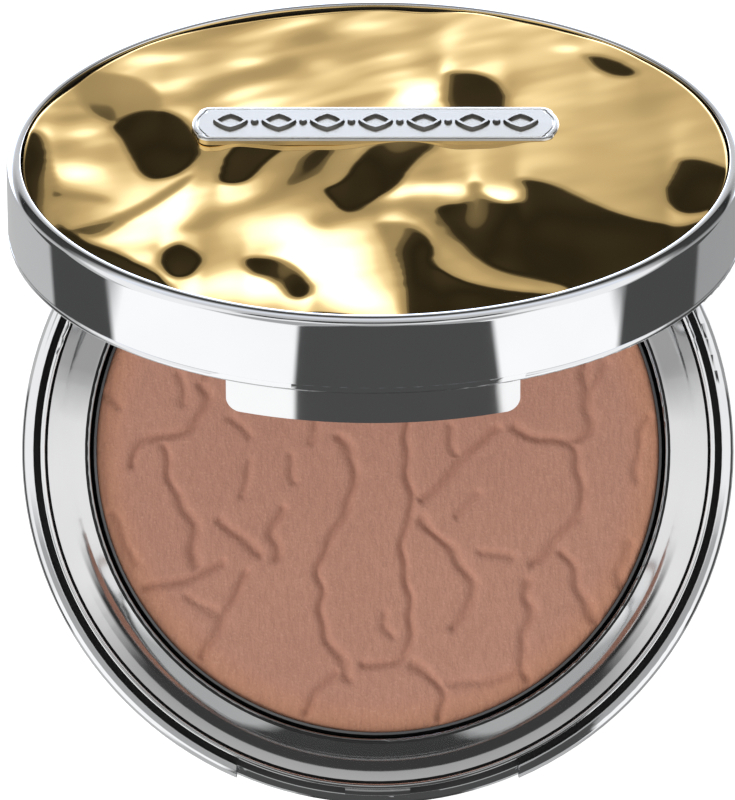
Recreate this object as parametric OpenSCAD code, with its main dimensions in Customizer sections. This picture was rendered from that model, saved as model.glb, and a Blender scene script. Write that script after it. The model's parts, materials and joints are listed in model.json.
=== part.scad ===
// Round powder compact: a chrome-plated clamshell case that turns on a rear hinge pin.
// The base holds a metal pan of pressed powder. The lid holds a mirror and a hammered decorative plate.
// The lid's parts are drawn closed, then swung open about the hinge pin. Millimetres, +Z up, front at -Y.

/* [Case] */
// Outer diameter of the base and the lid
case_d = 73.4; // [73:0.1:75]
// Height of the base, from the table to the parting plane
base_h = 8.6; // [8.6:0.1:9.4]
// Height of the lid's band, from the parting plane to its rim
lid_h = 8.05; // [8:0.05:9]
// Opening angle of the lid as drawn
lid_open = 62; // [0:1:98]

/* [Powder] */
// Outer diameter of the metal pan
pan_d = 58.6; // [57:0.1:59]
// Height of the metal pan
pan_h = 5.3; // [4.5:0.1:5.3]

/* [Mirror] */
// Diameter of the mirror
mirror_d = 60; // [56:0.5:62]
// Thickness of the mirror
mirror_t = 1.8; // [1.5:0.1:2]

/* [Hinge] */
// Distance of the hinge pin behind the case's centre
hinge_y = 34.6; // [34.5:0.1:34.7]
// Height of the hinge pin above the table
hinge_z = 4.1; // [4:0.1:4.2]
// Diameter of the hinge pin
pin_d = 1.5; // [1.2:0.1:1.6]
// Width of the lid's knuckle
knuckle_w = 9; // [7:0.5:9.5]

/* [Latch] */
// Width of the closing tab
tab_w = 28.5; // [24:0.5:30]
// How far the tab hangs below the parting plane
tab_drop = 3.3; // [3:0.1:3.5]
// Width of the catch
catch_w = 6.7; // [5:0.1:8]

/* [Nameplate] */
// Length of the nameplate
name_l = 36.8; // [30:0.2:38]
// Width of the nameplate
name_w = 7.6; // [7:0.1:10]
// Distance of the nameplate from the lid's centre, towards the hinge
name_y = 7.0; // [5:0.1:9]

/* [Hidden] */

$fn = 128;
eps = 0.01;
case_r = case_d / 2;
pan_r = pan_d / 2;
mirror_r = mirror_d / 2;
film = 0.15;                        // adhesive films and the label
slip = 0.15;                        // assembly gap between nested parts
parting = 0.1;                      // gap between the closed lid and the base
edge_round = 0.2;                   // small rounds on exposed edges

// Base shell
floor_t = 1.3;
label_step = 0.25;                  // recess under the base, which takes the label
foot_in = 27.3;                     // inner radius of the foot ring
side_r = 14;                        // bulge of the side wall
side_z = base_h - 1.3;              // height of the widest point
foot_round = 1;
rim_round = 1.1;                    // rounded top edge of the rim
rim_in = case_r - 1.22;
seat_in = rim_in - 0.63;            // bore that centres the frame, below the groove round the bead
seat_z = base_h - 2;

// Pan frame and bezel ring
frame_r = seat_in - 0.05;
skirt_t = 0.9;
web_z = base_h - 2.3;               // underside of the frame's web
web_t = 0.9;
bead_w = 0.55;                      // raised bead round the frame
bead_z = base_h + 0.12;
lip_in = pan_r + 0.4;               // lip round the pan
lip_w = 0.25;
lip_z = base_h - 1.05;
bezel_gap = 0.25;                   // dark line on each side of the bezel
bezel_out = frame_r - bead_w - bezel_gap;
bezel_in = lip_in + lip_w + bezel_gap;
bezel_high = base_h - 0.15;
bezel_low = base_h - 1.2;
bezel_crown = 9;                    // radius of the bezel's rounded face

// Pan and powder
pan_wall = 0.25;
pan_z = floor_t + film;
powder_z = pan_z + pan_h - 0.25;

// Latch
notch_gap = 0.3;
tab_round = 1.3;                    // rounded lower corners of the tab
tab_in = case_r - 1.6;
tab_out = case_r - 0.55;
tab_root = 1.8;                     // how far the tab runs up behind the lid's band
catch_out = tab_in + 0.5;
catch_z = [base_h - 2.2, base_h - 1.1];

// Hinge
knuckle_r = 1.9;
block_w = 4;                        // width of each of the base's two hinge blocks
pin_l = knuckle_w + 7.6;
pin_clear = 0.05;
arm_span = [-0.25, 0.9];            // front and back of the lid's hinge arm, from the pin's axis
stop_angle = 98;                    // opening at which the arm meets its stop
stop_gap = 0.1;
relief_r = base_h + parting - hinge_z - 0.15;   // the rear rim is rounded inside the sweep of the lid's band

// Lid
band_in = case_r - 1.1;
lid_z = base_h + parting;
lid_top = base_h + lid_h;
lid_round = 0.9;
rim_hole = case_r - 1.4;            // edge of the recess for the decorative plate
shelf_z = lid_top - 1.65;           // face that carries the decorative plate
shelf_t = 1;
cover_r = band_in - slip;           // mirror frame
cover_z = base_h + 0.3;
cover_t = 1;
mirror_z = cover_z + 0.25;
backing_z = mirror_z + mirror_t + film;
decor_r = rim_hole - 0.1;
decor_t = 1.15;
decor_z = shelf_z + film;
name_t = 0.5;
name_z = decor_z + decor_t + film;
name_bow = 1.3;                     // how far the nameplate's ends bow out

// Swings the lid's parts from closed to the drawn angle.
module on_lid() {
    translate([0, hinge_y, hinge_z]) rotate([-lid_open, 0, 0]) translate([0, -hinge_y, -hinge_z])
        children();
}

// What a round takes off a profile's outer corner at [r, z]. side is 1 for an upper corner, -1 for a lower one.
module corner_cut(r, z, radius, side = 1) {
    translate([r - radius, z - side * radius]) mirror([0, side > 0 ? 0 : 1]) difference() {
        square(radius + 1);
        circle(r = radius);
    }
}

// A ring about Z or, with no inner radius, a disc.
module ring(outer, inner, z0, z1) {
    translate([0, 0, z0]) difference() {
        cylinder(r = outer, h = z1 - z0);
        if (inner > 0) translate([0, 0, -1]) cylinder(r = inner, h = z1 - z0 + 2);
    }
}

// A block at the front of the case, centred on X, with round lower corners.
module front_block(width, z0, z1, radius) {
    rotate([90, 0, 0]) linear_extrude(case_r + 5) union() {
        translate([-width / 2, z0 + radius]) square([width, z1 - z0 - radius]);
        translate([-width / 2 + radius, z0]) square([width - 2 * radius, radius + eps]);
        for (side = [-1, 1]) translate([side * (width / 2 - radius), z0 + radius]) circle(r = radius, $fn = 48);
    }
}

// A bar along the hinge axis, centred.
module hinge_bar(radius, length) {
    translate([0, hinge_y, hinge_z]) rotate([0, 90, 0]) cylinder(r = radius, h = length, center = true, $fn = 64);
}

// The space behind the pin that the lid's arm sweeps, down to its stop.
module arm_sweep(width) {
    drop = (arm_span[1] + stop_gap) / sin(stop_angle);
    reach = 6;
    translate([-width / 2, hinge_y, hinge_z]) rotate([90, 0, 90]) linear_extrude(width)
        polygon([[arm_span[0] - slip, reach], [arm_span[0] - slip, 0], [0, -drop],
                 [reach, -drop + reach / tan(stop_angle)], [reach, reach]]);
}

// Half section of the base's wall and floor.
module base_profile() {
    foot_x = case_r - side_r + sqrt(pow(side_r - foot_round, 2) - pow(side_z - foot_round, 2));
    foot_angle = atan2(foot_round - side_z, foot_x - case_r + side_r);
    foot_top = side_z + side_r * sin(foot_angle);
    difference() {
        intersection() {
            translate([case_r - side_r, side_z]) circle(r = side_r, $fn = 180);
            square([case_r, base_h]);
        }
        // Round between the foot and the wall
        difference() {
            translate([foot_x, -1]) square([foot_round + 1, 1 + foot_top]);
            translate([foot_x, foot_round]) circle(r = foot_round, $fn = 64);
        }
        corner_cut(case_r, base_h, rim_round);
        translate([-eps, floor_t]) square([seat_in + eps, base_h]);
        translate([-eps, seat_z]) square([rim_in + eps, base_h]);
        translate([-eps, -1]) square([foot_in + eps, 1 + label_step]);
    }
}

module base_shell() {
    slot_w = knuckle_w + 2 * slip;
    color("silver") difference() {
        union() {
            difference() {
                rotate_extrude() base_profile();
                // Notch for the closing tab
                difference() {
                    front_block(tab_w + 2 * notch_gap, base_h - tab_drop - 0.2, base_h + 1, tab_round);
                    cylinder(r = seat_in - 1, h = base_h + 2);
                }
                // Rounded front edge of the notch's floor
                intersection() {
                    front_block(tab_w + 2 * notch_gap, base_h - tab_drop - 2.5, base_h, tab_round);
                    rotate_extrude() corner_cut(case_r - 0.1, base_h - tab_drop - 0.2, rim_round);
                }
                // Rear rim, inside the sweep of the lid's band
                difference() {
                    translate([-case_r, hinge_y, hinge_z]) cube([case_d, 5, base_h]);
                    hinge_bar(relief_r, case_d + 2);
                }
                hinge_bar(knuckle_r + slip, slot_w);
                arm_sweep(slot_w);
            }
            for (side = [-1, 1]) translate([side * (slot_w + block_w) / 2, 0, 0]) hinge_block();
        }
        hinge_bar(pin_d / 2, case_d);
    }
}

// One of the base's two hinge blocks, inside the rear wall.
module hinge_block() {
    intersection() {
        union() {
            hinge_bar(knuckle_r, block_w);
            translate([-block_w / 2, hinge_y - knuckle_r, floor_t - eps])
                cube([block_w, 2 * knuckle_r, hinge_z - floor_t]);
        }
        cylinder(r = seat_in + 0.4, h = base_h);
    }
}

module pan_frame() {
    blocks = knuckle_w + 2 * block_w + 4 * slip;
    color("silver") difference() {
        rotate_extrude() union() {
            translate([frame_r - skirt_t, floor_t]) square([skirt_t, web_z - floor_t + eps]);
            translate([lip_in, floor_t]) square([skirt_t, web_z - floor_t + eps]);
            translate([lip_in, web_z]) square([frame_r - lip_in, web_t]);
            translate([frame_r - bead_w, web_z]) square([bead_w, bead_z - web_z - bead_w / 2]);
            translate([frame_r - bead_w / 2, bead_z - bead_w / 2]) circle(r = bead_w / 2, $fn = 48);
            translate([lip_in, web_z]) square([lip_w, lip_z - web_z - lip_w / 2]);
            translate([lip_in + lip_w / 2, lip_z - lip_w / 2]) circle(r = lip_w / 2, $fn = 48);
        }
        // Room for the hinge blocks below the web
        translate([-blocks / 2, hinge_y - knuckle_r - 0.3, 0]) cube([blocks, 6, web_z]);
        // Slot for the lid's hinge arm
        translate([-knuckle_w / 2 - slip, bezel_out - 0.4, 0]) cube([knuckle_w + 2 * slip, 4, base_h + 2]);
    }
}

// Crowned ring, sloping in, between the frame's bead and its lip.
module bezel_ring() {
    span = [bezel_out - bezel_in, bezel_high - bezel_low];
    half = norm(span) / 2;
    tilt = atan2(span[1], span[0]);
    rise = sqrt(bezel_crown * bezel_crown - half * half);
    middle = [(bezel_in + bezel_out) / 2, (bezel_low + bezel_high) / 2];
    floor_z = web_z + web_t;
    color("gainsboro") rotate_extrude() intersection() {
        translate([bezel_in, floor_z]) square([span[0], bezel_high + 1 - floor_z]);
        translate(middle - rise * [-sin(tilt), cos(tilt)]) circle(r = bezel_crown, $fn = 200);
    }
}

// Bump on the front of the frame, with its root set into the frame's wall.
module latch_catch() {
    root = 0.1;
    color("silver") intersection() {
        rotate_extrude() polygon([[frame_r - root, catch_z[0]], [catch_out, catch_z[0]],
            [catch_out, catch_z[1] - 0.55], [catch_out - 0.15, catch_z[1] - 0.4], [frame_r - root, catch_z[1]]]);
        translate([-catch_w / 2, -case_r, 0]) cube([catch_w, case_r, base_h]);
    }
}

module powder_pan() {
    color("lightgray") rotate_extrude() difference() {
        translate([0, pan_z]) square([pan_r, pan_h]);
        translate([-eps, pan_z + pan_wall]) square([pan_r - pan_wall + eps, pan_h]);
    }
}

module pan_adhesive() {
    color("white") ring(24, 18, floor_t, pan_z);
}

module powder_cake() {
    color("rosybrown") ring(pan_r - pan_wall, 0, pan_z + pan_wall, powder_z);
}

module base_label() {
    color("white") ring(26, 0, label_step - film, label_step);
}

module hinge_pin() {
    color("gray") hinge_bar(pin_d / 2, pin_l);
}

module lid_shell() {
    color("silver") on_lid() difference() {
        rotate_extrude() difference() {
            translate([0, lid_z]) square([case_r, lid_top - lid_z]);
            corner_cut(case_r, lid_top, lid_round);
            corner_cut(case_r, lid_z, edge_round, -1);
            translate([-eps, shelf_z]) square([rim_hole + eps, lid_h]);
            translate([-eps, lid_z - 1]) square([band_in + eps, shelf_z - shelf_t - lid_z + 1]);
        }
        // Thinned wall in front of the tab's root
        intersection() {
            front_block(tab_w + 2 * slip, base_h - 1, base_h + tab_root + slip, eps);
            cylinder(r = tab_out + 0.1, h = 2 * base_h);
        }
    }
}

module mirror_frame() {
    pocket_r = mirror_r + slip;
    rib = 1.05;                     // wall round the mirror
    chamfer = mirror_z - cover_z;
    color("lightgray") on_lid() union() {
        rotate_extrude() difference() {
            translate([0, cover_z]) square([cover_r, shelf_z - shelf_t - cover_z]);
            translate([-eps, cover_z - 1]) square([pocket_r + eps, backing_z - cover_z + 1]);
            polygon([[pocket_r - eps, mirror_z], [pocket_r, mirror_z], [pocket_r + 2 * chamfer, cover_z],
                     [pocket_r + 2 * chamfer, cover_z - 1], [pocket_r - eps, cover_z - 1]]);
            translate([-eps, backing_z + cover_t]) square([pocket_r + rib + 2 * eps, lid_h]);
            translate([pocket_r + rib, cover_z + cover_t]) square([cover_r - 1 - pocket_r - rib, lid_h]);
        }
        closing_tab();
        hinge_arm();
    }
}

// Curved tongue that hangs into the base's notch. A pocket inside it takes the catch.
module closing_tab() {
    tab_z = base_h - tab_drop;
    pocket_gap = 0.25;
    lip_gap = 0.12;                 // clearance of the tab's lip as it passes the catch
    difference() {
        intersection() {
            ring(tab_out, tab_in, tab_z, base_h + tab_root);
            front_block(tab_w, tab_z, base_h + tab_root + 1, tab_round);
        }
        catch_room(catch_out + pocket_gap, catch_z[0] - pocket_gap, catch_z[1] + pocket_gap);
        catch_room(catch_out + lip_gap, tab_z - 1, catch_z[0]);
    }
}

// Space in the tab round the catch.
module catch_room(radius, z0, z1) {
    width = catch_w + 2 * notch_gap;
    intersection() {
        ring(radius, tab_in - 1, z0, z1);
        translate([-width / 2, -case_r, 0]) cube([width, case_r, base_h]);
    }
}

// Arm and knuckle that turn on the pin, in the slot behind the base.
module hinge_arm() {
    difference() {
        union() {
            hinge_bar(knuckle_r, knuckle_w);
            intersection() {
                translate([-knuckle_w / 2, hinge_y + arm_span[0], hinge_z])
                    cube([knuckle_w, arm_span[1] - arm_span[0], cover_z + cover_t - hinge_z]);
                cylinder(r = cover_r, h = lid_top);
            }
        }
        hinge_bar(pin_d / 2 + pin_clear, knuckle_w + 2);
    }
}

module mirror_glass() {
    color("whitesmoke") on_lid() rotate_extrude() difference() {
        translate([0, mirror_z]) square([mirror_r, mirror_t]);
        corner_cut(mirror_r, mirror_z, edge_round, -1);
    }
}

module mirror_adhesive() {
    color("white") on_lid() ring(26, 0, mirror_z + mirror_t, backing_z);
}

module decor_plate() {
    color("gold") on_lid() rotate_extrude() difference() {
        translate([0, decor_z]) square([decor_r, decor_t]);
        corner_cut(decor_r, decor_z + decor_t, 0.5);
    }
}

module decor_adhesive() {
    color("white") on_lid() ring(33.5, 0, shelf_z, decor_z);
}

// Outline of the nameplate, a bar whose ends bow out.
module name_outline(shrink) {
    half_l = name_l / 2 - shrink;
    half_w = name_w / 2 - shrink;
    bow_r = (half_w * half_w + name_bow * name_bow) / (2 * name_bow);
    square([2 * (half_l - name_bow), 2 * half_w], center = true);
    for (side = [-1, 1]) intersection() {
        translate([side * (half_l - bow_r), 0]) circle(r = bow_r, $fn = 96);
        translate([side * half_l / 2, 0]) square([half_l, 2 * half_w], center = true);
    }
}

module nameplate() {
    color("silver") on_lid() translate([0, name_y, name_z]) linear_extrude(name_t) name_outline(0);
}

module nameplate_adhesive() {
    color("white") on_lid() translate([0, name_y, name_z - film]) linear_extrude(film) name_outline(0.6);
}

base_shell();
pan_frame();
bezel_ring();
latch_catch();
powder_pan();
pan_adhesive();
powder_cake();
base_label();
hinge_pin();
lid_shell();
mirror_frame();
mirror_glass();
mirror_adhesive();
decor_plate();
decor_adhesive();
nameplate();
nameplate_adhesive();
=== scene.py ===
"""Looks of the pressed-powder compact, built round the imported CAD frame. Metres, front to -Y."""

import json
import math

import bmesh
import bpy
import numpy as np
from mathutils import Matrix, Vector


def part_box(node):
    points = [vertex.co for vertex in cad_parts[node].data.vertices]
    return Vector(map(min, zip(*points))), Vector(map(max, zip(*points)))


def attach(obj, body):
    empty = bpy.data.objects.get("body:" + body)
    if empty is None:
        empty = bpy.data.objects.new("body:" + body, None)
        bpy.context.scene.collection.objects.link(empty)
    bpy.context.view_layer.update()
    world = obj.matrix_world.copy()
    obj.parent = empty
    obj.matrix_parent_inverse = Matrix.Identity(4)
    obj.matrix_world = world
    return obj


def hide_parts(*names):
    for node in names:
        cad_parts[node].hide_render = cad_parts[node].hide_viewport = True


MM = 0.001

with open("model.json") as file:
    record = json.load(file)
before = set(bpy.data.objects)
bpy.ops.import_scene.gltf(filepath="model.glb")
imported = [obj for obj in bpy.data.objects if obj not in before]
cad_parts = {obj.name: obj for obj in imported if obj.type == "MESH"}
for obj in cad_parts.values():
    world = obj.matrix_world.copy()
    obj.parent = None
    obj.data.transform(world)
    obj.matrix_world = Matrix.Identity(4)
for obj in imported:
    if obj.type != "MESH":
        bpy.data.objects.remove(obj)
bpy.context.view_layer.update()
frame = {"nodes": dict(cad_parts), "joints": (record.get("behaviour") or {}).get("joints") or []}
NODES = frame["nodes"]

# ---------------------------------------------------------------- the frame's own places
HINGE = frame["joints"][0]
PIVOT = Vector(HINGE["pos_m"])
OPEN_ANGLE = -HINGE["range_deg"][0]
TURN = Matrix.Rotation(math.radians(OPEN_ANGLE), 4, Vector(HINGE["axis"]))
OPEN = Matrix.Translation(PIVOT) @ TURN @ Matrix.Translation(-PIVOT)
SHUT = OPEN.inverted()


def closed_box(node):
    """Lowest and highest corner of a lid node with the lid shut, in millimetres."""
    pts = np.array([SHUT @ v.co for v in NODES[node].data.vertices])
    return pts.min(0) / MM, pts.max(0) / MM


# ---------------------------------------------------------------- materials
class Graph:
    """A material's node tree with short calls for the nodes used here."""

    def __init__(self, name):
        self.mat = bpy.data.materials.new(name)
        self.mat.use_nodes = True
        self.nt = self.mat.node_tree
        self.bsdf = self.nt.nodes["Principled BSDF"]
        self.coord = self.nt.nodes.new("ShaderNodeTexCoord").outputs["Object"]

    def put(self, socket, value):
        if hasattr(value, "is_linked"):
            self.nt.links.new(value, socket)
        elif value is not None:
            socket.default_value = value

    def set(self, **sockets):
        for name, value in sockets.items():
            self.put(self.bsdf.inputs[name.replace("_", " ").title().replace("Ior", "IOR")], value)

    def scaled(self, scale):
        node = self.nt.nodes.new("ShaderNodeMapping")
        node.inputs["Scale"].default_value = scale
        self.put(node.inputs["Vector"], self.coord)
        return node.outputs[0]

    def noise(self, scale, detail=2.0, stretch=None, rough=0.5):
        node = self.nt.nodes.new("ShaderNodeTexNoise")
        node.inputs["Scale"].default_value = scale
        node.inputs["Detail"].default_value = detail
        node.inputs["Roughness"].default_value = rough
        self.put(node.inputs["Vector"], self.scaled(stretch) if stretch else self.coord)
        return node.outputs["Fac"]

    def band(self, value, low, high, out_low, out_high, smooth=False):
        node = self.nt.nodes.new("ShaderNodeMapRange")
        node.interpolation_type = "SMOOTHSTEP" if smooth else "LINEAR"
        for socket, v in zip(node.inputs, (value, low, high, out_low, out_high)):
            self.put(socket, v)
        return node.outputs[0]

    def math(self, operation, a, b=None):
        node = self.nt.nodes.new("ShaderNodeMath")
        node.operation = operation
        self.put(node.inputs[0], a)
        self.put(node.inputs[1], b)
        return node.outputs[0]

    def mix(self, factor, a, b):
        node = self.nt.nodes.new("ShaderNodeMix")
        node.data_type = "RGBA"
        self.put(node.inputs[0], factor)
        self.put(node.inputs[6], a)
        self.put(node.inputs[7], b)
        return node.outputs[2]

    def bump(self, height, distance, strength=1.0):
        node = self.nt.nodes.new("ShaderNodeBump")
        node.inputs["Strength"].default_value = strength
        node.inputs["Distance"].default_value = distance
        self.put(node.inputs["Height"], height)
        old = self.bsdf.inputs["Normal"]
        if old.is_linked:
            self.put(node.inputs["Normal"], old.links[0].from_socket)
        self.put(old, node.outputs[0])

    def attribute(self, name):
        node = self.nt.nodes.new("ShaderNodeAttribute")
        node.attribute_name = name
        return node.outputs["Fac"]


def rgb(r, g, b):
    return (r, g, b, 1.0)


def metal(name, colour, worn, roughness, rough_span, grain=0.0, stretch=None):
    """Polished or satin metal: tone clouds, handling smears in the gloss and a faint grain."""
    g = Graph(name)
    cloud = g.noise(60, 3.0)
    g.set(base_color=g.mix(g.band(cloud, 0.35, 0.7, 0, 1), colour, worn), metallic=1.0)
    smear = g.noise(140, 4.0, stretch)
    g.set(roughness=g.band(smear, 0.3, 0.75, roughness, roughness + rough_span))
    if grain:
        g.bump(g.noise(2600, 2.0, stretch), grain * MM)
    return g


GROOVE_R, LIP_R, BASE_TOP = 35.52, 30.05, 9.0  # outer radius of the grooves and of the lip, mm


def paint_gap_shade(g, depth_low, depth_high):
    """Paints shade: makes the floors of the base's narrow grooves near black and the lip round the
    pan greyer, as painted shade in the gaps.

    The floors blend out between the two depths, in millimetres.
    """
    flat = g.nt.nodes.new("ShaderNodeVectorMath")
    flat.operation = "LENGTH"
    g.put(flat.inputs[0], g.scaled((1.0, 1.0, 0.0)))
    split = g.nt.nodes.new("ShaderNodeSeparateXYZ")
    g.put(split.inputs[0], g.coord)
    within = g.band(flat.outputs["Value"], GROOVE_R * MM, (GROOVE_R + 0.04) * MM, 1.0, 0.0)
    deep = g.band(split.outputs["Z"], depth_low * MM, depth_high * MM, 1.0, 0.0)
    plated = g.bsdf.inputs["Base Color"].links[0].from_socket
    # painted shade: the groove floors go near black and lose their metal
    gap_shade = g.math("MULTIPLY", within, deep)
    # painted shade: the lip round the pan, inside LIP_R and below BASE_TOP, is greyed
    lip = g.math("MULTIPLY", g.band(flat.outputs["Value"], LIP_R * MM, (LIP_R + 0.05) * MM, 1.0, 0.0),
                 g.band(split.outputs["Z"], BASE_TOP * MM, (BASE_TOP + 0.5) * MM, 1.0, 0.0))
    plated = g.mix(lip, plated, rgb(0.42, 0.42, 0.425))
    g.set(base_color=g.mix(gap_shade, plated, rgb(0.035, 0.035, 0.036)),
          metallic=g.math("SUBTRACT", 1.0, gap_shade))
    rough = g.bsdf.inputs["Roughness"].links[0].from_socket
    g.set(roughness=g.math("MAXIMUM", rough, g.math("MULTIPLY", gap_shade, 0.6)))


def case_chrome():
    g = metal("case_chrome", rgb(0.86, 0.87, 0.88), rgb(0.82, 0.83, 0.845), 0.035, 0.03)
    # painted shade on the base's groove floors and on the lip round the pan
    paint_gap_shade(g, 7.2, 7.6)
    return g


def trim_chrome():
    g = metal("trim_chrome", rgb(0.86, 0.865, 0.87), rgb(0.80, 0.805, 0.815), 0.05, 0.05)
    # painted shade on the base's groove floors and on the lip round the pan
    paint_gap_shade(g, 7.25, 7.4)
    return g


def bezel_metal():
    return metal("bezel_metal", rgb(0.80, 0.80, 0.80), rgb(0.74, 0.74, 0.745), 0.04, 0.04)


def pan_metal():
    return metal("pan_metal", rgb(0.22, 0.22, 0.225), rgb(0.16, 0.16, 0.165), 0.30, 0.14, 0.002)


def pin_steel():
    return metal("pin_steel", rgb(0.55, 0.55, 0.56), rgb(0.45, 0.45, 0.46), 0.22, 0.1, 0.001)


def gold():
    g = metal("gold", rgb(0.97, 0.665, 0.245), rgb(0.95, 0.635, 0.225), 0.012, 0.03)
    return g


def nameplate_metal():
    return metal("nameplate_metal", rgb(0.82, 0.785, 0.71), rgb(0.76, 0.725, 0.655), 0.17, 0.06,
                 0.0012, (0.12, 1.0, 1.0))


def flank_shade_metal():
    """Darker metal on the flanks of the nameplate's raised ornament: painted shade that outlines the
    strokes.
    """
    return metal("flank_shade_metal", rgb(0.16, 0.155, 0.145), rgb(0.11, 0.105, 0.10), 0.3, 0.1).mat


def painted_shadow_black():
    """Near-black paint for painted shadow: under the nameplate's overhang and down the joint round
    the plate.
    """
    g = Graph("painted_shadow_black")
    g.set(base_color=g.mix(g.noise(400, 3.0), rgb(0.012, 0.011, 0.009), rgb(0.02, 0.018, 0.015)),
          roughness=0.5)
    return g.mat


def mirror():
    g = metal("mirror", rgb(0.93, 0.94, 0.945), rgb(0.915, 0.93, 0.935), 0.008, 0.012)
    return g


def adhesive():
    g = Graph("adhesive")
    g.set(base_color=g.mix(g.noise(300, 3.0), rgb(0.62, 0.60, 0.54), rgb(0.74, 0.72, 0.66)),
          roughness=0.45)
    g.bump(g.noise(900, 3.0), 0.03 * MM)
    return g


def label_paper():
    g = Graph("label_paper")
    fibre = g.noise(700, 5.0, (1.0, 0.35, 1.0), 0.65)
    g.set(base_color=g.mix(fibre, rgb(0.80, 0.80, 0.79), rgb(0.90, 0.90, 0.89)),
          roughness=g.band(fibre, 0.2, 0.8, 0.45, 0.62))
    g.bump(fibre, 0.012 * MM)
    return g


def powder():
    """Pressed bronzing powder: velvety, with fine upright fibres, warmer towards the edge."""
    g = Graph("powder")
    far = g.nt.nodes.new("ShaderNodeVectorMath")
    far.operation = "LENGTH"
    g.put(far.inputs[0], g.scaled((1.0, 1.0, 0.0)))
    rim = g.band(far.outputs["Value"], 0.86 * CAKE_R * MM, CAKE_R * MM, 0.0, 1.0, True)
    cloud = g.noise(45, 3.0)
    body = g.mix(g.band(cloud, 0.3, 0.72, 0, 1), rgb(0.520, 0.264, 0.192), rgb(0.560, 0.290, 0.210))
    warm = g.mix(rim, body, rgb(0.600, 0.292, 0.185))
    fibre = g.noise(2300, 4.0, (1.0, 0.30, 1.0), 0.65)
    speck = g.noise(3600, 2.0)
    worn = g.mix(g.band(fibre, 0.40, 0.66, 0.0, 0.30), warm, rgb(0.36, 0.172, 0.118))
    crumb = g.mix(g.band(speck, 0.56, 0.72, 0.0, 0.35), worn, rgb(0.70, 0.41, 0.30))
    # painted shade: the colour darkens in the cracks, from the crack attribute
    deep = g.mix(g.math("MULTIPLY", g.attribute("crack"), 0.26), crumb, rgb(0.24, 0.105, 0.066))
    g.set(base_color=deep, roughness=0.93, sheen_weight=0.10, sheen_roughness=0.4)
    g.bsdf.inputs["Specular IOR Level"].default_value = 0.18
    g.bump(fibre, 0.09 * MM)
    g.bump(speck, 0.05 * MM)
    return g


# ---------------------------------------------------------------- mesh helpers
def new_piece(name, verts, faces, material, body, opened=False):
    """A mesh from millimetre points, turned with the lid if opened, ready on its body."""
    mesh = bpy.data.meshes.new(name)
    mesh.from_pydata((np.asarray(verts, float) * MM).tolist(), [], [list(f) for f in faces])
    if opened:
        mesh.transform(OPEN)
    mesh.validate()
    mesh.update()
    for p in mesh.polygons:
        p.use_smooth = True
    mesh.materials.append(material)
    obj = bpy.data.objects.new(name, mesh)
    bpy.context.scene.collection.objects.link(obj)
    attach(obj, body)
    return obj


def disc_mesh(radii, count):
    """Faces and polar places of a disc with one centre point and rings at the radii."""
    angle = np.arange(count) * 2 * math.pi / count
    x = np.concatenate([[0.0], np.outer(radii, np.cos(angle)).ravel()])
    y = np.concatenate([[0.0], np.outer(radii, np.sin(angle)).ravel()])
    k = np.arange(count)
    nxt = (k + 1) % count
    faces = [(0, 1 + a, 1 + b) for a, b in zip(k, nxt)]
    for ring in range(len(radii) - 1):
        low, high = 1 + ring * count, 1 + (ring + 1) * count
        faces += list(zip(low + k, high + k, high + nxt, low + nxt))
    return x, y, faces


def close_below(x, y, z, faces, count, bottom):
    """Adds a wall and a flat base under a disc mesh, so that it is a closed solid."""
    n = len(x)
    rim = np.arange(n - count, n)
    x = np.concatenate([x, x[rim], [0.0]])
    y = np.concatenate([y, y[rim], [0.0]])
    z = np.concatenate([z, np.full(count + 1, bottom)])
    k = np.arange(count)
    nxt = (k + 1) % count
    faces = faces + [(rim[a], n + a, n + b, rim[b]) for a, b in zip(k, nxt)]
    faces += [(n + count, n + b, n + a) for a, b in zip(k, nxt)]
    return np.stack([x, y, z], 1), faces


def line_distance(points, x, y):
    """Distance from many places to one open line of points."""
    best = np.full(x.shape, 1e9)
    for (x0, y0), (x1, y1) in zip(points, points[1:]):
        dx, dy = x1 - x0, y1 - y0
        t = np.clip(((x - x0) * dx + (y - y0) * dy) / (dx * dx + dy * dy), 0, 1)
        best = np.minimum(best, np.hypot(x - x0 - t * dx, y - y0 - t * dy))
    return best


def rounded(points):
    """One corner-cutting pass over an open line, which keeps its ends."""
    out = [points[0]]
    for (x0, y0), (x1, y1) in zip(points, points[1:]):
        out += [(0.75 * x0 + 0.25 * x1, 0.75 * y0 + 0.25 * y1),
                (0.25 * x0 + 0.75 * x1, 0.25 * y0 + 0.75 * y1)]
    return out + [points[-1]]


def blur(field, sx, sy, step):
    """Gaussian blur of a square grid, with its spreads and cell size in millimetres."""
    k = np.fft.fftfreq(field.shape[0], step) * 2 * np.pi
    gx, gy = np.exp(-0.5 * (sx * k) ** 2), np.exp(-0.5 * (sy * k) ** 2)
    return np.real(np.fft.ifft2(np.fft.fft2(field) * gy[:, None] * gx[None, :]))


def inside(points, x, y):
    """Which places are within a polygon."""
    hit = np.zeros(x.shape, bool)
    for (x0, y0), (x1, y1) in zip(points, points[1:] + points[:1]):
        if y0 != y1:
            hit ^= ((y < y0) != (y < y1)) & (x < x0 + (y - y0) / (y1 - y0) * (x1 - x0))
    return hit.astype(float)


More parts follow.
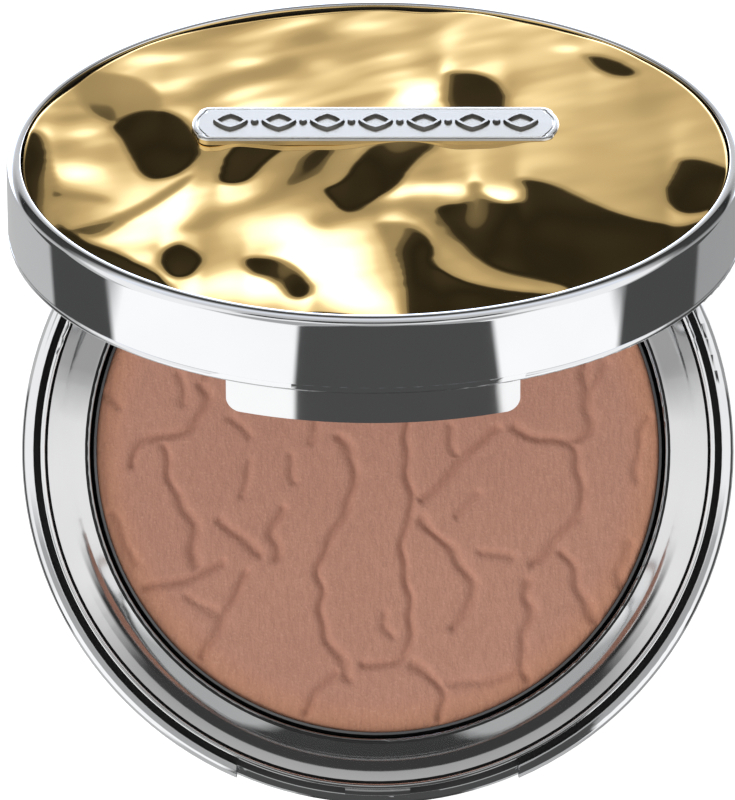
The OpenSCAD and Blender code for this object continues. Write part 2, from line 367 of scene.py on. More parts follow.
def sample(field, span, x, y):
    """Smooth values of a square, centred grid at places, in millimetres."""
    n = len(field)
    fine = 4
    spectrum = np.fft.fftshift(np.fft.fft2(field))
    pad = (fine * n - n) // 2
    big = np.real(np.fft.ifft2(np.fft.ifftshift(np.pad(spectrum, pad)))) * fine * fine
    u = ((x + span / 2) / (span / n) - 0.5) * fine
    v = ((y + span / 2) / (span / n) - 0.5) * fine
    i, j = np.floor(u).astype(int), np.floor(v).astype(int)
    fu, fv = u - i, v - j
    i, j = np.clip(i, 0, fine * n - 2), np.clip(j, 0, fine * n - 2)
    low = big[j, i] * (1 - fu) + big[j, i + 1] * fu
    high = big[j + 1, i] * (1 - fu) + big[j + 1, i + 1] * fu
    return low * (1 - fv) + high * fv


# ---------------------------------------------------------------- powder cake
CAKE_LOW, CAKE_HIGH = (np.array(c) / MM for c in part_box("powder_cake"))
CAKE_R = float(CAKE_HIGH[0])
CRACK_DEPTH, CRACK_WIDTH = 0.42, 0.46
CRACKS = [  # x, y in millimetres from the middle of the cake
    [(-20.5, 8), (-20, 5)],
    [(-18, 7), (-17.5, 5.5), (-18, 4), (-19, 2.5), (-21, 1.5), (-24, 1.5), (-25, 0), (-25.5, -1.5)],
    [(-28, 6), (-27, 4.5)],
    [(-22, 0.5), (-21.5, -3), (-20, -5.5), (-19, -7), (-19, -8.5), (-19, -12)],
    [(-15, 3.5), (-13.5, 1.5)],
    [(-13, -1), (-13.5, -2.5), (-14, -4.5)],
    [(-9, -0.5), (-8.5, -3)],
    [(-6.5, 3), (-7, 1)],
    [(-4, 1.5), (-2.5, -1), (-2.5, -2.5), (-3, -5.5), (-5, -9.5), (-6.5, -12.5), (-5.5, -14.5),
     (-6, -16.5), (-5.5, -18.5), (-4, -21), (-3, -23.5)],
    [(3, 8), (3, 2.5), (3, -3), (4, -5.5), (2.5, -8.5), (2.5, -11), (3, -13), (3.5, -16),
     (3.5, -19), (3, -21), (1.5, -22), (-1.5, -22)],
    [(-16, -7), (-14.5, -9), (-13, -10), (-12, -10.5)],
    [(-10, -6), (-11, -8), (-10.5, -10), (-10.5, -11)],
    [(-13.5, -12.5), (-15.5, -16), (-16.5, -18.5), (-18, -21)],
    [(-19.5, -15), (-18, -16), (-16.5, -17)],
    [(-16, -11.5), (-18, -12.5), (-20, -13.5), (-24, -14)],
    [(-27.5, -6.5), (-26.5, -8.5), (-25, -11.5)],
    [(7.5, 2.5), (8, 0), (8.5, -0.5)],
    [(12.5, 2.5), (10, 0.5), (8.5, -1), (6, -4), (4.5, -5)],
    [(14, 2.5), (16, 1.5), (19.5, 1), (20.5, 0), (21, -3), (21.5, -6), (19, -8), (17.5, -10.5),
     (16, -11.5)],
    [(21.5, 8.5), (21.5, 6), (22, 3), (21.5, 1.5), (19.5, 1)],
    [(23.5, 9), (22, 6.5)],
    [(28, 3.5), (27, 1.5), (26.5, -3)],
    [(10, -4.5), (8.5, -6.5)],
    [(4.5, -7), (6, -9), (8, -10), (9, -12.5), (10, -14.5), (9, -16.5), (8, -18)],
    [(10.5, -10.5), (12, -10.5), (13.5, -11)],
    [(19, -10.5), (20.5, -12), (21, -15), (22.5, -17.5)],
    [(15.5, -13.5), (15.5, -15), (16, -16.5), (15, -19.5), (15, -21.5), (15.5, -23.5)],
    [(26, -9.5), (25, -12), (25, -14)],
    [(-4.5, -23), (-6, -24.5), (-7, -26), (-7.5, -27)],
    [(0.5, -17), (0.5, -18), (1.5, -19)],
    [(3.5, -22), (6, -23.5), (7, -25), (6.5, -27.5)],
    [(7.5, -24), (13, -23.5), (14.5, -22.5)],
    # under the lid, where no view from above reaches
    [(-8, 24), (-9, 19), (-7, 15), (-8, 11), (-7, 7)],
    [(9, 26), (7, 21), (9, 17), (7.5, 12), (9, 8)],
    [(-9, 19), (-14, 17), (-18, 19), (-22, 16)],
    [(9, 17), (14, 18), (18, 15), (21.5, 8.5)],
    [(-18, 7), (-16, 12), (-14, 17)],
    [(-7, 15), (-1, 13), (3, 8)],
]


def powder_cake(material):
    top, bottom = float(CAKE_HIGH[2]), float(CAKE_LOW[2])
    count = 720
    radii = np.concatenate([np.arange(0.3, CAKE_R - 0.6, 0.25),
                            CAKE_R - np.array([0.5, 0.36, 0.22, 0.1, 0.03, 0.0])])
    x, y, faces = disc_mesh(radii, count)
    cut = np.zeros_like(x)
    tone = np.zeros_like(x)
    for number, line in enumerate(CRACKS):
        smooth = rounded(rounded(line))
        # a slow waver keeps the lips of a crack from running parallel
        waver = 0.16 * np.sin(x * 1.3 + number) + 0.16 * np.sin(y * 1.7 + 2.0 * number)
        d = line_distance(smooth, x + waver, y + 0.5 * waver)
        share = 1.0 if len(line) > 3 else 0.72
        cut = np.maximum(cut, share * np.exp(-((d / CRACK_WIDTH) ** 2)))
        # tone marks the middle of each crack for the painted crack shade in the powder material
        tone = np.maximum(tone, share * np.exp(-((d / (0.75 * CRACK_WIDTH)) ** 2)))
    r = np.hypot(x, y)
    swell = 0.035 * np.sin(x * 0.33 + 1) * np.cos(y * 0.27) + 0.03 * np.sin(x * 0.7 - y * 0.5)
    edge = np.clip((r - (CAKE_R - 0.7)) / 0.7, 0, 1)
    z = top - 0.07 + swell - CRACK_DEPTH * cut - 0.35 * (1 - np.sqrt(1 - edge**2 * 0.999))
    verts, faces = close_below(x, y, np.minimum(z, top), faces, count, bottom)
    obj = new_piece("pressed_powder", verts, faces, material, "base")
    # the crack attribute carries the painted crack shade to the powder material
    values = np.zeros(len(verts), np.float32)
    values[: len(tone)] = tone
    layer = obj.data.attributes.new("crack", "FLOAT", "POINT")
    layer.data.foreach_set("value", values)
    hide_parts("powder_cake")
    return obj


# ---------------------------------------------------------------- gold top plate
RELIEF_CELLS, RELIEF_SPAN = 420, 84.0
STEEP, SHELF, LEVEL, FALL = 0.078, 0.046, 0.008, -0.044  # slopes towards the hinge
RISES = [  # outlines, in the shut lid's plane, of the faces that tip up towards the hinge
    [(-26.5, 8), (-24, 10.5), (-21, 10.5), (-18.5, 8), (-17.5, 2), (-19, -2.5), (-23, -4),
     (-24.5, 2)],
    [(-36, 5.5), (-33, 5.5), (-32.5, -1), (-31.5, -7), (-31.5, -14), (-28, -18.5),
     (-25.5, -20), (-18, -28.5), (-22, -32), (-36, -18)],
    [(-19, -18.5), (-16.5, -21), (-17.5, -25.5), (-20.5, -25), (-21, -20)],
    [(-12.5, -21.5), (-9.5, -22), (-7, -25), (-5.5, -30.5), (-8, -31), (-9.5, -26.5),
     (-12.5, -24.5)],
    [(-15.5, -4.5), (-14.5, 4), (-8, 4), (-11, 0), (-12.5, -4.5)],
    [(-5, -6), (-3, -4.5), (-2, -1), (0, 4), (7.5, 4), (3.5, -1.5), (2.5, -6), (0, -8),
     (-3, -11.5)],
    [(6.8, 19.5), (11, 19), (13.3, 15), (13.3, 9.5), (6.8, 9.5)],
    [(21, 23.5), (23.5, 23), (26.8, 19.5), (25.5, 18), (22.5, 19.5)],
    [(30, -1), (32, -0.5), (37, -4), (36, -8.5), (31, -12.5), (28.5, -10)],
    [(14, -5), (18, -6.5), (23, -12), (27.5, -14.5), (31, -14.5), (37, -8), (37, -24),
     (22, -38), (9, -38), (12, -30.5), (20.5, -27.5), (16, -25), (11, -22.5), (8, -17),
     (5.5, -11), (9.5, -10), (9.3, -5.5), (10.5, -5.5), (10.2, -8), (13, -11), (15, -9.5)],
    [(0.3, -13), (4, -15), (6, -19), (5.5, -23.5), (9, -26.5), (15, -28), (21, -28),
     (12, -31), (10, -38), (2.5, -38), (3, -28), (1.5, -18)],
]
SHELVES = [
    [(-31, 21), (-23, 17.5), (-21, 10), (-26, 8), (-28, 10), (-30, 13)],
    [(-30, -16), (-26, -13.5), (-22, -7.5), (-18, -2), (-18.5, -4.5), (-23, -11), (-27, -18)],
]
HOLLOWS = [  # x, y, half width, half height and weight of the faces that tip down
    (-30, -3, 3.5, 3.5, 1.5), (-29, 6, 2.5, 3, 0.8), (-15, -6, 5, 5, 1.0),
    (-22, -13, 6, 7, 1.0), (-5, -22, 6, 10, 1.5),
    (-14, -28, 10, 5, 1.2), (-9, -15, 6, 4, 0.7), (6, -7.3, 3.6, 1.8, 1.3),
    (12.5, -9, 2.2, 2.5, 1.2), (-25, -24, 3, 3, 0.6), (4.5, 13, 2.2, 3, 1.1),
    (-1, -31, 4, 4, 1.0), (-24, 2, 3, 5, 0.3), (19.5, -15.5, 2.5, 0.5, 1.3),
    (5, 16, 2.6, 3.5, 0.8), (-3, 31, 4, 2, 0.5), (-5, 21, 2.5, 3, 0.6), (-23, 22.5, 4.5, 1.6, 0.5),
    (19.4, 25, 1.4, 1.0, 0.6), (-13, 22.5, 2.5, 1.4, 0.4), (-24, -20, 4, 4, 0.7),
]
RIDGES = [  # lines, half width and weight of the level creases that cross the hollows
    ([(-18, -15), (-15.5, -12), (-11, -9), (-7.5, -3.5), (-5.5, 2)], 1.3, 0.8),
    ([(-5, -13), (-2, -10.5), (1, -9.5), (5, -12), (7.5, -17), (11, -22), (16, -25)], 1.4, 0.9),
    ([(-22, -19), (-25, -20)], 1.5, 0.5), ([(-20, 26), (-12, 27), (-6, 29)], 1.1, 0.25),
    ([(-19, 13), (-16.5, 18), (-9, 22)], 1.8, 0.6),
    ([(-32, -8), (-27, -9)], 0.8, 0.8),
]


def slanted(rng, x, y, angle, along, across):
    """Even noise drawn out along a direction of the plate, unit spread."""
    n, step = RELIEF_CELLS, RELIEF_SPAN / RELIEF_CELLS
    k = np.fft.fftfreq(n, step) * 2 * np.pi
    c, s = math.cos(math.radians(angle)), math.sin(math.radians(angle))
    u, v = k[None, :] * c + k[:, None] * s, k[:, None] * c - k[None, :] * s
    keep = np.exp(-0.5 * ((u * along) ** 2 + (v * across) ** 2))
    field = np.real(np.fft.ifft2(np.fft.fft2(rng.standard_normal(x.shape)) * keep))
    return field / field.std()


def relief():
    """Heights of the wavy sheet, found from the slopes wanted on each of its faces."""
    n, step = RELIEF_CELLS, RELIEF_SPAN / RELIEF_CELLS
    c = (np.arange(n) - n / 2 + 0.5) * step
    x, y = np.meshgrid(c, c)
    rng = np.random.default_rng(11)
    light = sum(s * np.exp(-(((x - u) / a) ** 2 + ((y - v) / b) ** 2))
                for u, v, a, b, s in HOLLOWS)
    light = np.clip(light, 0, 1.6)
    for line, width, weight in RIDGES:
        light -= weight * np.exp(-((line_distance(rounded(line), x, y) / width) ** 2))
    slope = LEVEL + FALL * light
    streak = slanted(rng, x, y, 38, 5.0, 1.1)
    ripple = slanted(rng, x, y, 30, 2.2, 0.5)
    cloud = blur(rng.standard_normal(x.shape), 2.6, 2.2, step)
    far = np.clip((y + 1) / 8, 0, 1) * np.clip((24 - x) / 16, 0.25, 1)
    slope += far * (0.007 * streak + 0.003 * ripple)
    slope += 0.0025 * cloud / cloud.std() + 0.002 * ripple
    slope = blur(slope, 0.35, 0.35, step)
    for outlines, softness, value in ((SHELVES, 0.3, SHELF), (RISES, 0.35, STEEP)):
        shapes = [rounded(rounded(p + p[:1])) for p in outlines]
        mask = np.clip(sum(inside(p, x, y) for p in shapes), 0, 1)
        mask = blur(mask, softness, softness, step)
        slope = slope * (1 - mask) + (value + 0.11 * value * cloud / cloud.std()) * mask
    k = np.fft.fftfreq(n, step) * 2 * np.pi
    ky, kx = k[:, None], k[None, :]
    solve = np.conj(1j * ky) / (ky**2 + 0.08 * kx**2 + 0.0008)
    solve[0, 0] = 0
    wanted = slope.copy()
    on_plate = np.hypot(x, y) < 36
    for _ in range(7):
        height = np.real(np.fft.ifft2(np.fft.fft2(wanted) * solve))
        wanted += 0.8 * (slope - np.gradient(height, step, axis=0)) * on_plate
    return height


NAME_BOW = 1.3  # how far the nameplate's ends bulge
GOLD_MID, GOLD_HIGHEST = 16.0, 16.62  # heights with the lid shut
SWELL, SWELL_X, SWELL_Y, SWELL_WIDE, SWELL_DEEP = 0.18, -10, 5.5, 13, 9  # lifts it to the nameplate


def plate_reach(x, y):
    """How far inside the nameplate's outline a place is; negative is outside."""
    low, high = closed_box("nameplate")
    half_x, half_y = (high[0] - low[0]) / 2, (high[1] - low[1]) / 2
    mid_y = (high[1] + low[1]) / 2
    dy = np.abs(y - mid_y)
    half = half_x - NAME_BOW * (dy / half_y) ** 2
    return np.minimum(half - np.abs(x), half_y - dy)


def gold_plate(material, height):
    """The wavy gold sheet, flat under the nameplate and rolled down at its edge."""
    low, high = closed_box("decor_plate")
    edge_r = float(high[0])
    count = 720
    radii = np.concatenate([np.arange(0.2, edge_r - 0.5, 0.2),
                            edge_r - np.array([0.42, 0.32, 0.22, 0.13, 0.05, 0.0])])
    x, y, faces = disc_mesh(radii, count)
    z = GOLD_MID + sample(height, RELIEF_SPAN, x, y)
    z += SWELL * np.exp(-(((x - SWELL_X) / SWELL_WIDE) ** 2 + ((y - SWELL_Y) / SWELL_DEEP) ** 2))
    z = np.minimum(z, GOLD_HIGHEST)
    pad = np.clip((plate_reach(x, y) - 0.3) / 1.0, 0, 1)
    pad = pad * pad * (3 - 2 * pad)
    z = z * (1 - pad) + float(high[2]) * pad
    r = np.hypot(x, y)
    edge = np.clip((r - (edge_r - 0.45)) / 0.45, 0, 1)
    z -= 0.35 * (1 - np.sqrt(1 - 0.999 * edge**2))
    verts, faces = close_below(x, y, z, faces, count, float(low[2]) + 0.01)
    obj = new_piece("gold_relief", verts, faces, material, "lid", opened=True)
    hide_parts("decor_plate")
    return obj


# ---------------------------------------------------------------- lid shell
def arc(cr, cz, radius, a0, a1, steps=8):
    """Points of a profile's round, angles in degrees from outwards, towards up."""
    return [(cr + radius * math.cos(t), cz + radius * math.sin(t))
            for t in np.radians(np.linspace(a0, a1, steps + 1))]


def lathe(name, profile, count):
    """A closed ring turned from a closed profile of (radius, height) in millimetres."""
    n = len(profile)
    verts, faces = [], []
    for t in np.arange(count) * 2 * math.pi / count:
        verts += [(r * math.cos(t) * MM, r * math.sin(t) * MM, z * MM) for r, z in profile]
    for s in range(count):
        a, b = s * n, (s + 1) % count * n
        faces += [(a + i, b + i, b + (i + 1) % n, a + (i + 1) % n) for i in range(n)]
    mesh = bpy.data.meshes.new(name)
    mesh.from_pydata(verts, [], faces)
    mesh.update()
    obj = bpy.data.objects.new(name, mesh)
    bpy.context.scene.collection.objects.link(obj)
    return obj


def cut_away(target, cutter):
    """Takes the cutter's solid out of target and removes the cutter."""
    modifier = target.modifiers.new("cut", "BOOLEAN")
    modifier.operation, modifier.solver, modifier.object = "DIFFERENCE", "EXACT", cutter
    depsgraph = bpy.context.evaluated_depsgraph_get()
    mesh = bpy.data.meshes.new_from_object(target.evaluated_get(depsgraph))
    target.modifiers.clear()
    target.data = mesh
    bpy.data.objects.remove(cutter)


def add_solid(target, other):
    """Puts a second closed solid, keyed into the first, in the same mesh."""
    both = bmesh.new()
    both.from_mesh(target.data)
    both.from_mesh(other.data)
    both.to_mesh(target.data)
    both.free()
    bpy.data.objects.remove(other)


def lid_cover(material, shadow_paint):
    """The lid's shell with its outer wall, rolled edge and rim turned finely, to mirror clean."""
    high = closed_box("lid_shell")[1]
    outer, top = float(high[0]), float(high[2])
    hole = float(closed_box("decor_plate")[1][0]) + 0.1
    obj = bpy.data.objects.new("lid_cover", NODES["lid_shell"].data.copy())
    bpy.context.scene.collection.objects.link(obj)
    obj.data.transform(SHUT)
    skirt, roll, lip, core = 9.4, 0.9, 0.12, outer - 0.5
    seat_z = top - 1.3
    cutter = lathe("cutter", [(core, skirt), (outer + 3, skirt), (outer + 3, top + 3),
                              (hole - 0.2, top + 3), (hole - 0.2, seat_z), (core, seat_z)], 360)
    cut_away(obj, cutter)
    ring = lathe("ring", [(core - 0.1, skirt - 0.02), (outer - 0.03, skirt - 0.02),
                          (outer, skirt + 0.01)]
                 + arc(outer - roll, top - roll, roll, 0, 90, 14)
                 + arc(hole + lip, top - lip, lip, 90, 180, 5)
                 + [(hole, top - 0.3), (hole, seat_z), (hole + 0.06, seat_z - 0.02),
                    (hole + 0.06, top - 1.42), (core - 0.1, top - 1.42)], 720)
    add_solid(obj, ring)
    obj.data.materials.clear()
    obj.data.materials.append(material)
    obj.data.materials.append(shadow_paint)
    for p in obj.data.polygons:
        p.use_smooth = True
        x, y, z = p.center / MM
        # the wall of the joint round the gold plate gets the near-black paint: painted shade in the
        # joint
        joint = hole - 0.3 < math.hypot(x, y) < hole + 0.08 and top - 2.4 < z < top - 0.3
        p.material_index = 1 if joint else 0
    obj.data.transform(OPEN)
    flat_shade(obj, 28)
    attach(obj, "lid")
    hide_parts("lid_shell")
    return obj


# ---------------------------------------------------------------- nameplate
def name_outline(inset, steps=12):
    """The bowed-end outline of the nameplate, pulled in by inset, with round corners."""
    low, high = closed_box("nameplate")
    half_x, half_y = (high[0] - low[0]) / 2 - inset, (high[1] - low[1]) / 2 - inset
    mid_y = (high[1] + low[1]) / 2
    corner = max(1.3 - inset, 0.3)
    side = []
    for i in range(-steps, steps + 1):
        v = i / steps * (half_y - corner)
        side.append((half_x - NAME_BOW * (v / half_y) ** 2, v))
    end_x = side[-1][0] - corner
    top = [(end_x + corner * math.cos(t), half_y - corner + corner * math.sin(t))
           for t in np.linspace(0, math.pi / 2, 9)[1:]]
    low_corner = [(px, -py) for px, py in reversed(top)]
    right = low_corner + side + top
    left = [(-px, -py) for px, py in right]
    return [(px, py + mid_y) for px, py in right + left]


def ring_stack(levels):
    """A closed solid from stacked outlines [(points, z)], all with one point count."""
    verts, faces = [], []
    n = len(levels[0][0])
    for points, z in levels:
        verts += [(px, py, z) for px, py in points]
    for layer in range(len(levels) - 1):
        a, b = layer * n, (layer + 1) * n
        faces += [(a + i, a + (i + 1) % n, b + (i + 1) % n, b + i) for i in range(n)]
    faces.append(tuple(range(n - 1, -1, -1)))
    faces.append(tuple(range((len(levels) - 1) * n, len(levels) * n)))
    return verts, faces


def nameplate(material, shadow_paint):
    """The bar with a bevelled edge and a fine groove inside it, on a near-black foot: painted shadow
    under its edge.
    """
    top = float(closed_box("nameplate")[1][2]) - 0.25
    foot, rim = 15.45, 0.66
    levels = [(name_outline(0.12), foot), (name_outline(0.12), top - rim),
              (name_outline(0.03), top - rim + 0.02), (name_outline(0.0), top - rim + 0.08),
              (name_outline(0.0), top - 0.16), (name_outline(0.04), top - 0.07),
              (name_outline(0.11), top - 0.015), (name_outline(0.20), top),
              (name_outline(0.42), top), (name_outline(0.50), top - 0.05),
              (name_outline(0.58), top - 0.05), (name_outline(0.66), top)]
    verts, faces = ring_stack(levels)
    obj = new_piece("name_bar", verts, faces, material, "lid", opened=True)
    obj.data.materials.append(shadow_paint)
    per = len(levels[0][0])
    # the foot's side faces get the near-black paint: painted shadow under the bar
    for index, face in enumerate(obj.data.polygons):
        if index < 2 * per:
            face.material_index = 1
    flat_shade(obj, 20)
    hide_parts("nameplate")
    return obj


def flat_shade(obj, angle):
    """Smooth shading that stays sharp at edges over the angle."""
    mesh = obj.data
    mesh.set_sharp_from_angle(angle=math.radians(angle))


def open_lozenge(cx, cy, half_x, half_y, wall, z0, z1):
    """A raised diamond frame with sloped flanks, as rings round its outline."""
    def diamond(scale):
        n = 4
        pts = []
        for q in range(4):
            a = (math.cos(q * math.pi / 2), math.sin(q * math.pi / 2))
            b = (math.cos((q + 1) * math.pi / 2), math.sin((q + 1) * math.pi / 2))
            for i in range(n):
                t = i / n
                u, v = a[0] * (1 - t) + b[0] * t, a[1] * (1 - t) + b[1] * t
                swell = 1 + 0.16 * math.sin(math.pi * t)
                pts.append((cx + u * swell * (half_x + scale), cy + v * swell * (half_y + scale)))
        return pts
    slope = 0.12
    rings = [(diamond(0.0), z0), (diamond(-slope), z1), (diamond(-wall + slope), z1),
             (diamond(-wall), z0)]
    n = len(rings[0][0])
    verts = [(px, py, z) for points, z in rings for px, py in points]
    faces = []
    for layer in range(4):
        a, b = layer * n, ((layer + 1) % 4) * n
        faces += [(a + i, a + (i + 1) % n, b + (i + 1) % n, b + i) for i in range(n)]
    return verts, faces


def bead(cx, cy, radius, z0, z1):
    """A small raised stud with a round shoulder."""
    n = 20
    verts, faces = [], []
    for r, z in ((radius, z0), (radius * 0.92, z0 + 0.6 * (z1 - z0)), (radius * 0.6, z1)):
        verts += [(cx + r * math.cos(t), cy + r * math.sin(t), z)
                  for t in np.arange(n) * 2 * math.pi / n]
    for a in (0, n):
        faces += [(a + i, a + (i + 1) % n, a + n + (i + 1) % n, a + n + i) for i in range(n)]
    faces += [tuple(range(2 * n, 3 * n)), tuple(range(n - 1, -1, -1))]
    return verts, faces


def ornament(material, groove):
    """A plain row of open diamonds and studs, in place of any wording."""
    low, high = closed_box("nameplate")
    z0, z1 = float(high[2]) - 0.29, float(high[2]) + 0.02
    mid_y = float(low[1] + high[1]) / 2 + 0.25
    verts, faces = [], []
    pitch = 4.85
    parts = [open_lozenge(pitch * i, mid_y, 1.8, 1.85, 0.60, z0, z1) for i in range(-3, 4)]
    parts += [bead(pitch * (i + 0.5), mid_y, 0.42, z0, z1) for i in range(-3, 3)]
    for v, f in parts:
        shift = len(verts)
        verts += v
        faces += [tuple(i + shift for i in q) for q in f]
    obj = new_piece("name_ornament", verts, faces, material,
                    "lid", opened=True)
    obj.data.materials.append(groove)
    # the flank faces get the darker metal: painted shade that outlines the strokes
    for face in obj.data.polygons:
        level = (TURN.inverted().to_3x3() @ face.normal).z
        face.material_index = 0 if abs(level) > 0.75 else 1
    flat_shade(obj, 22)
    return obj


# ---------------------------------------------------------------- stage, light, camera
WHITE_ROOM = 0.98
PANELS = [  # azimuth from the front (+ to the right) low, high, elevation low, high, value, softness
    (-180, 0, -90, 0, 0.54, 3.0),
    (0, 180, -90, 0, 0.36, 3.0),
    (-80, 80, 38, 95, 0.42, 5.0),
    (-66.6, 63.7, -14, 36, 1.10, 1.2),
    (-36, 36, -50, 10, 0.52, 3.0),
    (-25.6, 37.8, 3, 75, 0.075, 0.7),
    (-13.0, 15.0, -36, 5, 0.055, 1.5),
    (-100, -60, -37.5, -12, 0.07, 1.0),
    (60, 100, -37, -6, 0.07, 1.0),
]
REAR = [  # elevation, value: what stands behind the compact
    (-90, 1.2), (-60, 2.2), (-48, 3.2), (-42.1, 2.9), (-39.3, 1.6), (-37.9, 1.0), (-36.3, 0.66),
    (-34.3, 0.47), (-31.4, 0.36), (-31.0, 0.17), (-30.1, 0.12), (-29.7, 0.045), (-27.5, 0.024),
    (-25, 0.045), (-8, 0.05), (4, 0.5), (14, 0.9), (40, 0.6), (57.3, 0.46), (58.3, 0.05),
    (73, 0.05), (74, 0.44), (90, 0.55),
]
SIDE_ARC = (113, 137, 50, 64, 0.035, 2.0)  # azimuth either way, elevation, value, softness
COOL = (0.95, 1.08, 1.36)  # tint of the brightest panel behind


DIFFUSE_SKY = 0.50  # what matt surfaces are lit by


def build_world():
    """A white studio with grey and black panels, seen only in reflections."""
    world = bpy.data.worlds.new("studio")
    bpy.context.scene.world = world
    world.use_nodes = True
    world.cycles.sampling_method = "NONE"
    nt = world.node_tree
    nt.nodes.clear()

    def put(socket, value):
        if hasattr(value, "is_linked"):
            nt.links.new(value, socket)
        else:
            socket.default_value = value

    def calc(operation, a, b=0.0):
        node = nt.nodes.new("ShaderNodeMath")
        node.operation = operation
        put(node.inputs[0], a)
        put(node.inputs[1], b)
        return node.outputs[0]

    def ramp(value, low, high, out_low=0.0, out_high=1.0):
        node = nt.nodes.new("ShaderNodeMapRange")
        for socket, v in zip(node.inputs, (value, low, high, out_low, out_high)):
            put(socket, v)
        return node.outputs[0]

    def blend(mask, a, b):
        return calc("ADD", calc("MULTIPLY", calc("SUBTRACT", 1.0, mask), a),
                    calc("MULTIPLY", mask, b))

    split = nt.nodes.new("ShaderNodeSeparateXYZ")
    put(split.inputs[0], nt.nodes.new("ShaderNodeTexCoord").outputs["Generated"])
    x, y, z = split.outputs
    azimuth = calc("MULTIPLY", calc("ARCTAN2", x, calc("MULTIPLY", y, -1.0)), 180 / math.pi)
    elevation = calc("MULTIPLY", calc("ARCSINE", z), 180 / math.pi)

    value = WHITE_ROOM
    for a0, a1, e0, e1, level, soft in PANELS:
        mask = calc("MULTIPLY", ramp(elevation, e0 - soft, e0 + soft),
                    ramp(elevation, e1 - soft, e1 + soft, 1.0, 0.0))
        mask = calc("MULTIPLY", mask, ramp(azimuth, a0 - soft, a0 + soft))
        mask = calc("MULTIPLY", mask, ramp(azimuth, a1 - soft, a1 + soft, 1.0, 0.0))
        value = blend(mask, value, level)
    back = REAR[0][1]
    for (e0, v0), (e1, v1) in zip(REAR, REAR[1:]):
        back = calc("ADD", back, ramp(elevation, e0, e1, 0.0, v1 - v0))
    around = calc("ABSOLUTE", azimuth)
    upper = ramp(elevation, 30, 40)
    behind = ramp(around, 112, 124)
    far_up = ramp(around, 116, 134)
    behind = blend(upper, behind, far_up)
    value = blend(behind, value, back)
    a0, a1, e0, e1, level, soft = SIDE_ARC
    arc_mask = calc("MULTIPLY", ramp(around, a0 - 3 * soft, a0 + 3 * soft),
                    ramp(around, a1 - 3 * soft, a1 + 3 * soft, 1.0, 0.0))
    arc_mask = calc("MULTIPLY", arc_mask, calc("MULTIPLY", ramp(elevation, e0 - soft, e0 + soft),
                    ramp(elevation, e1 - soft, e1 + soft, 1.0, 0.0)))
    value = blend(arc_mask, value, level)
    cool = calc("MULTIPLY", behind, ramp(back, 0.6, 1.4))

    light = nt.nodes.new("ShaderNodeLightPath")
    glossy = light.outputs["Is Glossy Ray"]
    camera = light.outputs["Is Camera Ray"]
    value = blend(glossy, DIFFUSE_SKY, value)
    value = blend(camera, value, 1.0)
    tint = nt.nodes.new("ShaderNodeCombineXYZ")
    for socket, gain in zip(tint.inputs, COOL):
        put(socket, ramp(calc("MULTIPLY", cool, glossy), 0.0, 1.0, 1.0, gain))
    background = nt.nodes.new("ShaderNodeBackground")
    put(background.inputs["Color"], tint.outputs[0])
    put(background.inputs["Strength"], value)
    output = nt.nodes.new("ShaderNodeOutputWorld")
    nt.links.new(background.outputs[0], output.inputs["Surface"])


def build_floor():
    """A white floor, lit from within, that mirrors don't see."""
    half = 3.0
    mesh = bpy.data.meshes.new("floor")
    mesh.from_pydata([(-half, -half, 0), (half, -half, 0), (half, half, 0), (-half, half, 0)],
                     [], [(0, 1, 2, 3)])
    floor = bpy.data.objects.new("floor", mesh)
    floor.location.z = -0.0002
    bpy.context.scene.collection.objects.link(floor)
    g = Graph("floor_white")
    g.set(base_color=g.mix(g.noise(3, 2.0), rgb(0.60, 0.60, 0.60), rgb(0.62, 0.62, 0.62)),
          roughness=0.9)
    g.bsdf.inputs["Emission Color"].default_value = rgb(1, 1, 1)
    g.bsdf.inputs["Emission Strength"].default_value = 0.75
    mesh.materials.append(g.mat)
    floor.visible_glossy = False


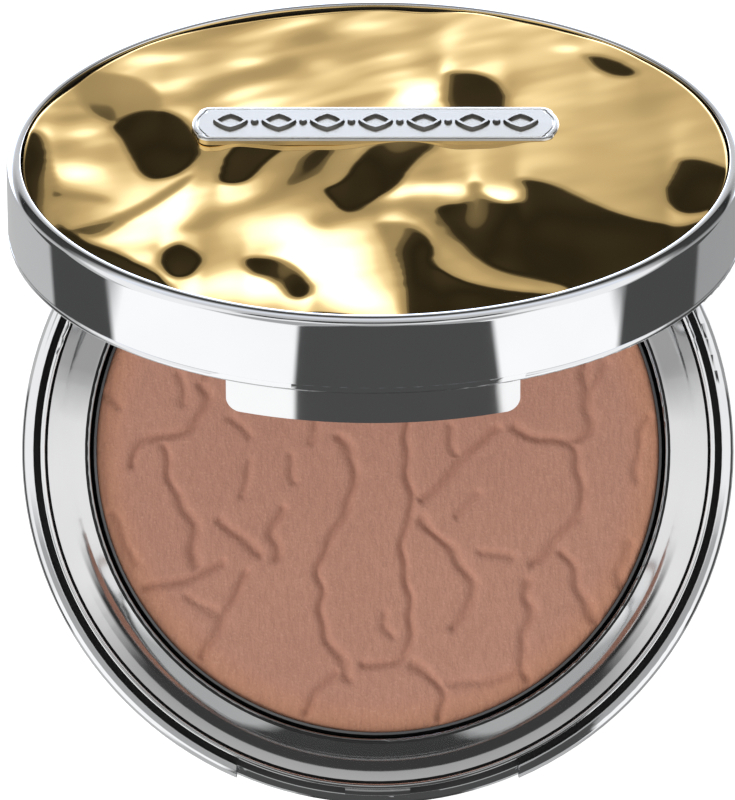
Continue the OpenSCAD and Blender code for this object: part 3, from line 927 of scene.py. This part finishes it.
def soft_light(name, place, aim, size, power):
    data = bpy.data.lights.new(name, "AREA")
    data.shape = "SQUARE"
    data.size = size
    data.energy = power
    lamp = bpy.data.objects.new(name, data)
    lamp.location = place
    lamp.rotation_euler = (Vector(aim) - Vector(place)).to_track_quat("-Z", "Y").to_euler()
    lamp.visible_glossy = False
    bpy.context.scene.collection.objects.link(lamp)


VIEW_TARGET = Vector((-1.04, 5.26, 8.0)) * MM
VIEW_DISTANCE = 946 * MM
VIEW_BACK = Vector((0.00873, -0.00976, 0.99991)).normalized()
VIEW_UP = Vector((0, 0.99995, 0.00976))


def build_camera():
    data = bpy.data.cameras.new("camera")
    data.lens, data.sensor_width = 413.0, 36.0
    data.clip_start, data.clip_end = 0.05, 20.0
    camera = bpy.data.objects.new("camera", data)
    right = VIEW_UP.cross(VIEW_BACK).normalized()
    up = VIEW_BACK.cross(right)
    camera.matrix_world = Matrix.Translation(VIEW_TARGET + VIEW_BACK * VIEW_DISTANCE) @ Matrix(
        (right, up, VIEW_BACK)).transposed().to_4x4()
    bpy.context.scene.collection.objects.link(camera)
    bpy.context.scene.camera = camera


# ---------------------------------------------------------------- the whole scene
FINISHES = {f.__name__: f for f in (
    case_chrome, trim_chrome, bezel_metal, pan_metal, adhesive, powder, label_paper, pin_steel,
    mirror, gold, nameplate_metal)}


def finish_nodes():
    """Gives every CAD node the procedural material of its own slot."""
    slots = {o: [s.material.name for s in o.material_slots] for o in NODES.values()}
    for material in list(bpy.data.materials):
        material.name = "cad_" + material.name
    made = {name: build().mat for name, build in FINISHES.items()}
    for obj, names in slots.items():
        for spot, name in zip(obj.material_slots, names):
            spot.material = made[name]
    return made


def main():
    bpy.context.scene.view_settings.view_transform = "Standard"
    build_camera()
    build_world()
    build_floor()
    soft_light("key_left", (-1.25, -0.10, 0.72), (0, 0, 0), 0.40, 9.0)
    soft_light("fill_front", (0.25, -1.30, 0.85), (0, 0, 0), 0.60, 7.5)
    made = finish_nodes()
    dark = painted_shadow_black()
    powder_cake(made["powder"])
    lid_cover(made["case_chrome"], dark)
    gold_plate(made["gold"], relief())
    nameplate(made["nameplate_metal"], dark)
    ornament(made["nameplate_metal"], flank_shade_metal())


main()
